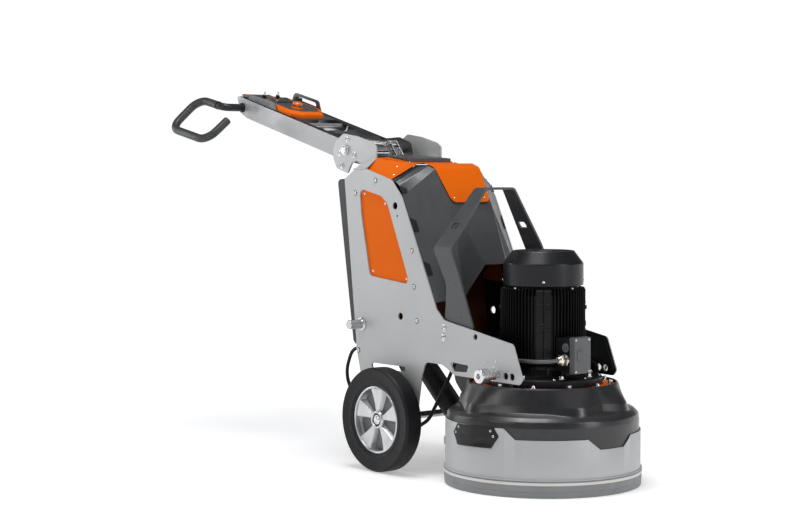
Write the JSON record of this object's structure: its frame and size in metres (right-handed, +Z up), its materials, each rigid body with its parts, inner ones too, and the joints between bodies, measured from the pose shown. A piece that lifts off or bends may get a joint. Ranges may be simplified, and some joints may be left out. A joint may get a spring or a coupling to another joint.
{
  "type": "planetary floor grinder",
  "caption": "Walk-behind planetary concrete floor grinder: round dust skirt with grinding discs, upright motor, wheeled cabinet chassis, lifting bow and tilting handle with control panel.",
  "frame": {"origin": "middle of the bounding box in plan, on the floor", "axes": "+X from the handlebar to the grinding head, +Y to the operator's left, +Z up"},
  "size_m": [2.1142, 0.6998, 1.361],
  "materials": {
    "plate_grey": "satin",
    "shell_grey": "satin",
    "seal_grey": "matte",
    "graphite_paint": "satin",
    "dome_plastic": "semi-gloss",
    "black_paint": "satin",
    "orange_paint": "satin",
    "zinc_steel": "satin",
    "cast_aluminium": "satin",
    "tyre_rubber": "matte",
    "grip_rubber": "matte",
    "hose_rubber": "matte",
    "black_plastic": "matte",
    "segment_steel": "satin",
    "display_glass": "gloss",
    "red_plastic": "gloss",
    "green_plastic": "gloss"
  },
  "bodies": {
    "chassis": {"side_plate_right": "plate_grey", "side_plate_left": "plate_grey", "inner_plate_right": "black_paint", "inner_plate_left": "black_paint", "window_panel_right": "orange_paint", "window_panel_left": "orange_paint", "front_cover": "graphite_paint", "top_cover": "orange_paint", "top_lid": "graphite_paint", "bulkhead": "orange_paint", "cabinet_floor": "black_paint", "frequency_drive": "black_plastic", "edge_clips": "black_plastic", "lifting_bow": "graphite_paint", "wheel_axle": "zinc_steel", "cable_posts": "zinc_steel", "chassis_fasteners": "zinc_steel", "hinge_brackets": "plate_grey", "handle_pivot": "zinc_steel", "dust_hose": "hose_rubber", "cable_loop": "black_plastic"},
    "rear_door": {"rear_door": "graphite_paint", "door_latch": "black_plastic"},
    "wheel_right": {"tyre_right": "tyre_rubber", "rim_right": "cast_aluminium"},
    "wheel_left": {"tyre_left": "tyre_rubber", "rim_left": "cast_aluminium"},
    "handle": {"handle_arm_right": "plate_grey", "handle_arm_left": "plate_grey", "handle_tubes": "cast_aluminium", "handlebar": "black_paint", "handle_grips": "grip_rubber", "panel_deck": "graphite_paint", "panel_housing": "orange_paint", "panel_display": "display_glass"},
    "spring_cylinder": {"spring_cylinder": "black_paint"},
    "spring_rod": {"spring_rod": "zinc_steel"},
    "estop": {"estop_button": "red_plastic"},
    "speed_knob": {"speed_knob": "black_plastic"},
    "toggle_right": {"toggle_right": "zinc_steel"},
    "toggle_left": {"toggle_left": "zinc_steel"},
    "start_button": {"start_button": "green_plastic"},
    "head": {"base_plate": "orange_paint", "dome_cover": "dome_plastic", "motor_flange": "black_paint", "motor_body": "black_paint", "fan_cowl": "black_paint", "terminal_box": "black_paint", "motor_cable": "black_plastic", "head_fasteners": "zinc_steel"},
    "rotor": {"cooling_fan": "black_plastic"},
    "carrier": {"planet_carrier": "segment_steel"},
    "disc_1": {"grinding_disc_1": "segment_steel"},
    "disc_2": {"grinding_disc_2": "segment_steel"},
    "disc_3": {"grinding_disc_3": "segment_steel"},
    "skirt": {"skirt_shell": "shell_grey", "skirt_seal": "seal_grey", "skirt_covers": "black_plastic"},
    "lock_pin_right": {"lock_pin_right": "zinc_steel"},
    "lock_pin_left": {"lock_pin_left": "zinc_steel"}
  },
  "joints": [
    {"name": "wheel_right_spin", "type": "hinge", "parent": "chassis", "child": "wheel_right", "pos_m": [0.20608, -0.285, 0.183], "axis": [0, 1, 0], "continuous": true},
    {"name": "wheel_left_spin", "type": "hinge", "parent": "chassis", "child": "wheel_left", "pos_m": [0.20608, 0.285, 0.183], "axis": [0, 1, 0], "continuous": true},
    {"name": "rear_door_hinge", "type": "hinge", "parent": "chassis", "child": "rear_door", "pos_m": [-0.05892, 0.205, 0.725], "axis": [0.1081, 0, -0.9941], "range_deg": [0, 110]},
    {"name": "handle_tilt", "type": "hinge", "parent": "chassis", "child": "handle", "pos_m": [-0.15493, 0, 1.126], "axis": [0, 1, 0], "range_deg": [-8, 25]},
    {"name": "spring_swing", "type": "hinge", "parent": "handle", "child": "spring_cylinder", "pos_m": [-0.55106, 0, 1.19324], "axis": [0, 1, 0], "range_deg": [-4.5, 2]},
    {"name": "spring_stroke", "type": "slide", "parent": "spring_cylinder", "child": "spring_rod", "axis": [0.9955, 0, -0.0951], "range_m": [-0.02, 0.008]},
    {"name": "estop_press", "type": "slide", "parent": "handle", "child": "estop", "axis": [-0.2598, 0, -0.9657], "range_m": [0, 0.005]},
    {"name": "start_press", "type": "slide", "parent": "handle", "child": "start_button", "axis": [-0.2598, 0, -0.9657], "range_m": [0, 0.003], "stiffness_N_per_m": 400, "springref_m": -0.002},
    {"name": "speed_turn", "type": "hinge", "parent": "handle", "child": "speed_knob", "pos_m": [-0.71427, 0.045, 1.31793], "axis": [0.2598, 0, 0.9657], "range_deg": [-135, 135]},
    {"name": "toggle_right_tip", "type": "hinge", "parent": "handle", "child": "toggle_right", "pos_m": [-0.79871, -0.06, 1.33122], "axis": [0, 1, 0], "range_deg": [-15, 15]},
    {"name": "toggle_left_tip", "type": "hinge", "parent": "handle", "child": "toggle_left", "pos_m": [-0.79871, 0.005, 1.33122], "axis": [0, 1, 0], "range_deg": [-15, 15]},
    {"name": "head_tilt", "type": "hinge", "parent": "chassis", "child": "head", "pos_m": [0.73808, 0, 0.382], "axis": [0, 1, 0], "range_deg": [-3, 3]},
    {"name": "carrier_spin", "type": "hinge", "parent": "head", "child": "carrier", "pos_m": [0.72208, 0, 0.106], "axis": [0, 0, 1], "continuous": true},
    {"name": "rotor_spin", "type": "hinge", "parent": "head", "child": "rotor", "pos_m": [0.72208, 0, 0.7], "axis": [0, 0, 1], "continuous": true},
    {"name": "skirt_lift", "type": "slide", "parent": "head", "child": "skirt", "axis": [0, 0, 1], "range_m": [0, 0.02]},
    {"name": "lock_pin_right_pull", "type": "slide", "parent": "chassis", "child": "lock_pin_right", "axis": [0, -1, 0], "range_m": [0, 0.05]},
    {"name": "lock_pin_left_pull", "type": "slide", "parent": "chassis", "child": "lock_pin_left", "axis": [0, 1, 0], "range_m": [0, 0.05]},
    {"name": "disc_1_spin", "type": "hinge", "parent": "carrier", "child": "disc_1", "pos_m": [0.80807, 0.14896, 0.05], "axis": [0, 0, 1], "continuous": true},
    {"name": "disc_2_spin", "type": "hinge", "parent": "carrier", "child": "disc_2", "pos_m": [0.55007, 0, 0.05], "axis": [0, 0, 1], "continuous": true},
    {"name": "disc_3_spin", "type": "hinge", "parent": "carrier", "child": "disc_3", "pos_m": [0.80807, -0.14896, 0.05], "axis": [0, 0, 1], "continuous": true}
  ],
  "couplings": [
    {"joint": "spring_swing", "follows": "handle_tilt", "ratio": -0.146},
    {"joint": "spring_stroke", "follows": "handle_tilt", "m_per_rad": -0.0401},
    {"joint": "rotor_spin", "follows": "carrier_spin", "ratio": -12},
    {"joint": "disc_1_spin", "follows": "carrier_spin", "ratio": -9},
    {"joint": "disc_2_spin", "follows": "carrier_spin", "ratio": -9},
    {"joint": "disc_3_spin", "follows": "carrier_spin", "ratio": -9}
  ]
}
